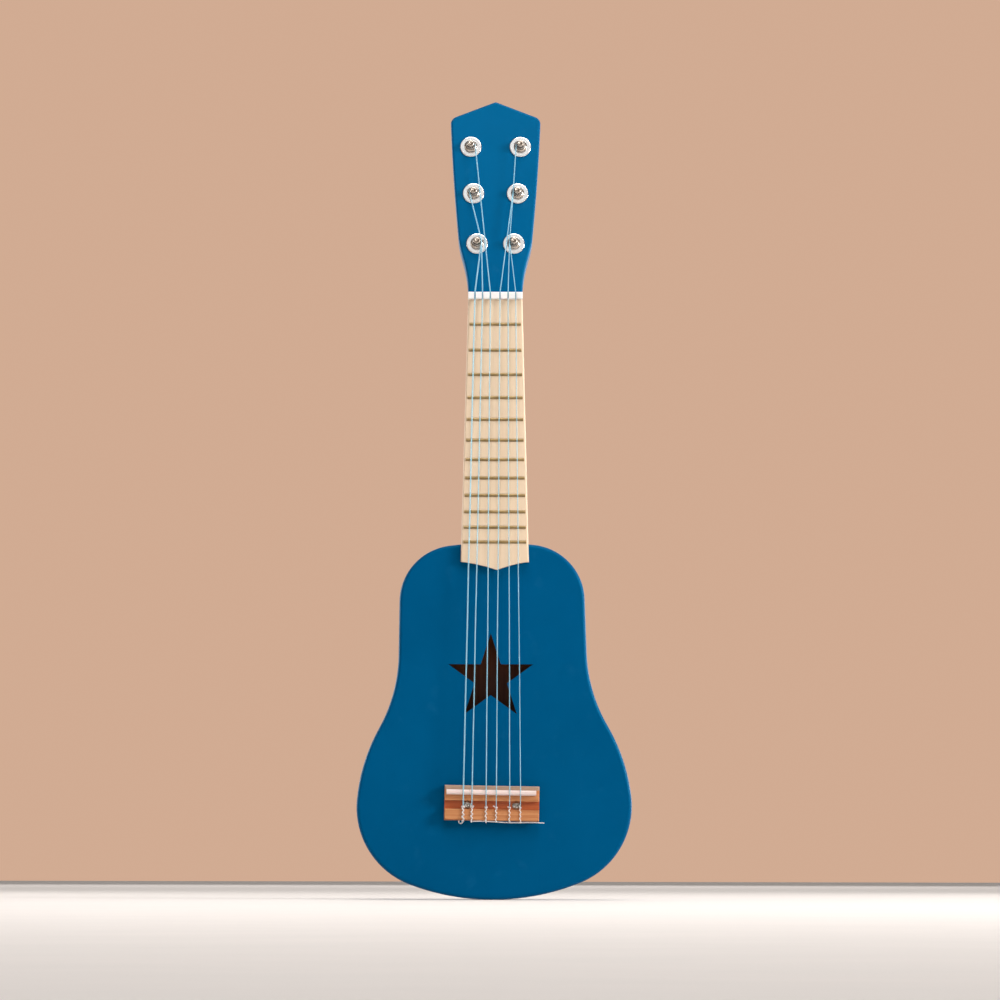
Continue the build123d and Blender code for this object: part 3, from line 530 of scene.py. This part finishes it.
def string_line(number, rng):
    """Line of one string from inside the tie block to the side of its post."""
    diameter, at_nut, from_middle = STRINGS[number]
    radius = diameter / 2
    hole_start, hole_end = BRIDGE_LOW + 0.5 * MM, BRIDGE_LOW + TIE_BLOCK + 0.3 * MM
    nut_y, nut_edge = FACE_Y - STRING_HEIGHT_NUT, 0.6 * MM
    saddle = bridge_point(from_middle, 0, FACE_Y - SADDLE_LOW.y + radius + SADDLE_GAP)
    nut_front = Vector((at_nut, nut_y, NUT_LOW.z + nut_edge))
    nut_back = Vector((at_nut, nut_y, NUT_HIGH.z - nut_edge))
    points = [
        bridge_point(from_middle, hole_start, TIE_HOLE_HEIGHT),
        bridge_point(from_middle, hole_end, TIE_HOLE_HEIGHT),
        saddle,
    ]
    for i in range(1, STRING_STATIONS):
        share = i / STRING_STATIONS
        sway = STRING_SWAY * math.sin(math.pi * share)
        wander = Vector((rng.uniform(-sway, sway), rng.uniform(-sway, sway) / 2, 0))
        points.append(saddle.lerp(nut_front, share) + wander)
    points += [nut_front, nut_back]
    if number in LEANS_ON:
        other = LEANS_ON[number]
        inward = -1 if PINS[other]["pos_m"][0] > 0 else 1
        above = WINDING_FOOT + WINDING_TURNS * STRINGS[other][0] + LEAN_GAP + radius
        points.append(head_point(other, inward * (POST_RADIUS + LEAN_GAP + radius), 0, above))
    side = POST_SIDE[number] * (POST_RADIUS + radius + POST_GAP)
    points.append(head_point(number, side, 0, WINDING_FOOT + 1.5 * diameter))
    return eased(points, STRING_BEND)


def winding_line(number):
    """Turns round a post from the side that the string meets, down to the eye, and the cut end
    that stands off them."""
    diameter = STRINGS[number][0]
    radius = POST_RADIUS + diameter / 2
    side = POST_SIDE[number]
    steps = 28
    line = []
    for i in range(WINDING_TURNS * steps + 1):
        turn = i / steps
        angle = 2 * math.pi * turn
        across, along = side * radius * math.cos(angle), radius * math.sin(angle)
        line.append(head_point(number, across, along, WINDING_FOOT + diameter * (1.5 - 0.5 * turn)))
    tip = head_point(number, side * (radius + 1.5 * MM), 1.2 * MM, WINDING_FOOT + 0.4 * MM)
    line.append(line[-1].lerp(tip, 0.5) + 0.3 * MM * HEAD_NORMAL)
    line.append(tip)
    return line


def twist(number, phase, start, length, turns, bulge):
    """One strand of the twisted pair that lies on the tie block. It starts a little above or
    below the bridge's lower edge."""
    diameter, _, across = STRINGS[number]
    radius = diameter / 2
    steps = 36
    line = []
    for i in range(steps + 1):
        share = i / steps
        angle = 2 * math.pi * turns * share + phase
        swing = radius * (1.1 + bulge * math.sin(7 * share + number))
        up = BRIDGE_LOW + start + length * share
        out = BRIDGE_DEPTH + radius + swing * (1 + math.sin(angle)) * 0.5 + 0.05 * MM
        line.append(bridge_point(across + swing * math.cos(angle), up, out))
    return line


def tie_line(number, rng):
    """A string's end where it comes out of the tie block, goes round its edge in a small loop
    and winds up its top."""
    diameter, _, across = STRINGS[number]
    droop = rng.uniform(0.7, 1.5) * MM
    lean = rng.uniform(-0.6, 0.6) * MM
    top = BRIDGE_DEPTH + diameter / 2
    line = [
        bridge_point(across, BRIDGE_LOW + 1.0 * MM, TIE_HOLE_HEIGHT),
        bridge_point(across, BRIDGE_LOW - 0.4 * MM, TIE_HOLE_HEIGHT),
        bridge_point(across + lean * 0.5, BRIDGE_LOW - droop, TIE_HOLE_HEIGHT + 0.8 * MM),
        bridge_point(across + lean, BRIDGE_LOW - droop * 0.7, top + 0.3 * MM),
        bridge_point(across + lean * 0.5, BRIDGE_LOW + 0.3 * MM, top + 0.4 * MM),
    ]
    return eased(line, 0.6 * MM) + twist(number, number, 0.9 * MM, 7.2 * MM, 2.6, 0.3)


def counter_strand(number):
    """The other strand of a tie, which the first one is twisted round."""
    return twist(number, number + math.pi, -0.8 * MM, 8.6 * MM, 3.1, 0.25)


def knot_line(number, rng):
    """Two tight turns round the string over the trough, and the cut end that stands off them."""
    diameter, _, across = STRINGS[number]
    up, out = BRIDGE_LOW + TIE_BLOCK + 0.9 * MM, TIE_HOLE_HEIGHT + 0.9 * MM
    line = []
    turns, steps = 2, 16
    for i in range(turns * steps + 1):
        angle = 2 * math.pi * i / steps + number
        rise = 0.45 * diameter * i / steps
        sideways, forward = diameter * math.cos(angle), diameter * math.sin(angle)
        line.append(bridge_point(across + sideways, up + rise, out - forward))
    side = rng.choice((-1, 1))
    end = line[-1]
    line.append(end + Vector((side * 0.5 * MM, -0.5 * MM, 0.3 * MM)))
    line.append(end + Vector((side * rng.uniform(0.8, 1.3) * MM, -0.8 * MM, rng.uniform(0.1, 0.9) * MM)))
    return line


def end_curl():
    """Curl left at the bass string's tie, below the bridge's edge."""
    radius, steps = 1.35 * MM, 28
    middle, low = STRINGS[6][2] - 1.4 * MM, BRIDGE_LOW - 0.7 * MM
    line = []
    for i in range(steps + 1):
        share = i / steps
        angle = math.pi * (0.1 - 1.35 * share)
        across, up = middle + radius * math.cos(angle), low + radius * math.sin(angle)
        line.append(bridge_point(across, up, 4.6 * MM + 0.25 * MM * share))
    return line


def loose_tail(rng):
    """Long cut end of one string, which runs along the bridge's lower edge and past its side."""
    start = bridge_point(STRINGS[5][2], BRIDGE_LOW - 0.6 * MM, 6.2 * MM)
    end = bridge_point(BRIDGE_HALF + 3.6 * MM, BRIDGE_LOW - 1.0 * MM, 5.2 * MM)
    steps = 22
    line = []
    for i in range(steps + 1):
        share = i / steps
        wave = 0.25 * MM * math.sin(9 * share)
        line.append(start.lerp(end, share) + Vector((0, rng.uniform(-0.1, 0.1) * MM, wave)))
    return line


def make_strings():
    rng = random.Random(11)
    # The light blue of the strings is painted: it stands in for the blue body seen through the clear
    # nylon.
    material = nylon("nylon_string", (0.32, 0.65, 0.82), (0.42, 0.75, 0.90), 0.55)
    # The grey of the windings is painted shade: a darker copy of the whitish nylon of the ties.
    wound = nylon("nylon_wound", (0.34, 0.32, 0.30), (0.44, 0.42, 0.40), 0.35)
    tied = nylon("nylon_tied", (0.78, 0.74, 0.72), (0.90, 0.86, 0.84), 0.48)
    for number in TUNERS:
        radius = STRINGS[number][0] / 2
        string = wire(f"nylon_string_{number}", string_line(number, rng), radius, material)
        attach(string, GUITAR)
        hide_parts(f"string_{number}")
        turns = wire(f"nylon_winding_{number}", winding_line(number), radius, wound)
        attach(turns, f"tuner_{number}")
        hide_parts(f"string_winding_{number}")
        for name, line in (
            ("tie", tie_line(number, rng)),
            ("tie_strand", counter_strand(number)),
            ("knot", knot_line(number, rng)),
        ):
            piece = wire(f"string_{name}_{number}", line, radius * 0.9, tied)
            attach(piece, GUITAR)
    loose_ends = (
        ("string_curl", end_curl(), CURL_RADIUS),
        ("string_tail", loose_tail(rng), TAIL_RADIUS),
    )
    for name, line, size in loose_ends:
        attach(wire(name, line, size, tied), GUITAR)


# ---------------------------------------------------------------- stage


def make_floor():
    mesh = bpy.data.meshes.new("floor")
    corners = [(x * FLOOR_REACH, y * FLOOR_REACH, 0) for x, y in ((-1, -1), (1, -1), (1, 1), (-1, 1))]
    mesh.from_pydata(corners, [], [(0, 1, 2, 3)])
    mesh.materials.append(floor_material())
    floor = bpy.data.objects.new("floor", mesh)
    bpy.context.scene.collection.objects.link(floor)


def make_lights():
    for name, (place, target, size, power, colour) in LIGHTS.items():
        data = bpy.data.lights.new(name, "AREA")
        data.shape = "DISK"
        data.size = size
        data.energy = power
        data.color = colour
        light = bpy.data.objects.new(name, data)
        light.location = place
        light.visible_camera = False
        light.rotation_euler = (Vector(target) - Vector(place)).to_track_quat("-Z", "Y").to_euler()
        bpy.context.scene.collection.objects.link(light)


def make_world():
    """A plain warm wall for the camera and a soft even light. Gloss reflects a dim room, which
    is bright at the back and in a patch high in front."""
    world = bpy.data.worlds.new("studio")
    n = Nodes(world, "Generated")
    towards_front = n.spread(n.dot(n.place, HIGH_IN_FRONT), 0.0, 1.0, -1.0, 1.0)
    stops = ((0.30, ROOM_BACK), (0.50, ROOM_DIM), (0.93, ROOM_DIM), (0.975, ROOM_BRIGHT))
    rays = n.add("ShaderNodeLightPath").outputs
    lit = n.mixed(rays["Is Glossy Ray"], AMBIENT, n.ramp(towards_front, stops))
    seen = n.mixed(rays["Is Camera Ray"], lit, WALL)
    n.link(seen, n.tree.nodes["Background"].inputs["Color"])
    bpy.context.scene.world = world


def make_camera():
    data = bpy.data.cameras.new("camera")
    data.sensor_width = SENSOR
    data.lens = LENS
    camera = bpy.data.objects.new("camera", data)
    upright = Matrix.Rotation(math.radians(90 + CAMERA_PITCH), 3, "X")
    turned = Matrix.Rotation(math.radians(-CAMERA_YAW), 3, "Z") @ upright
    turned = turned @ Matrix.Rotation(math.radians(CAMERA_ROLL), 3, "Z")
    camera.rotation_euler = turned.to_euler()
    camera.location = CAMERA_PLACE
    bpy.context.scene.collection.objects.link(camera)
    bpy.context.scene.camera = camera


make_camera()
dress_cad_nodes()
make_strings()
make_floor()
make_lights()
make_world()
bpy.context.scene.view_settings.view_transform = "Standard"
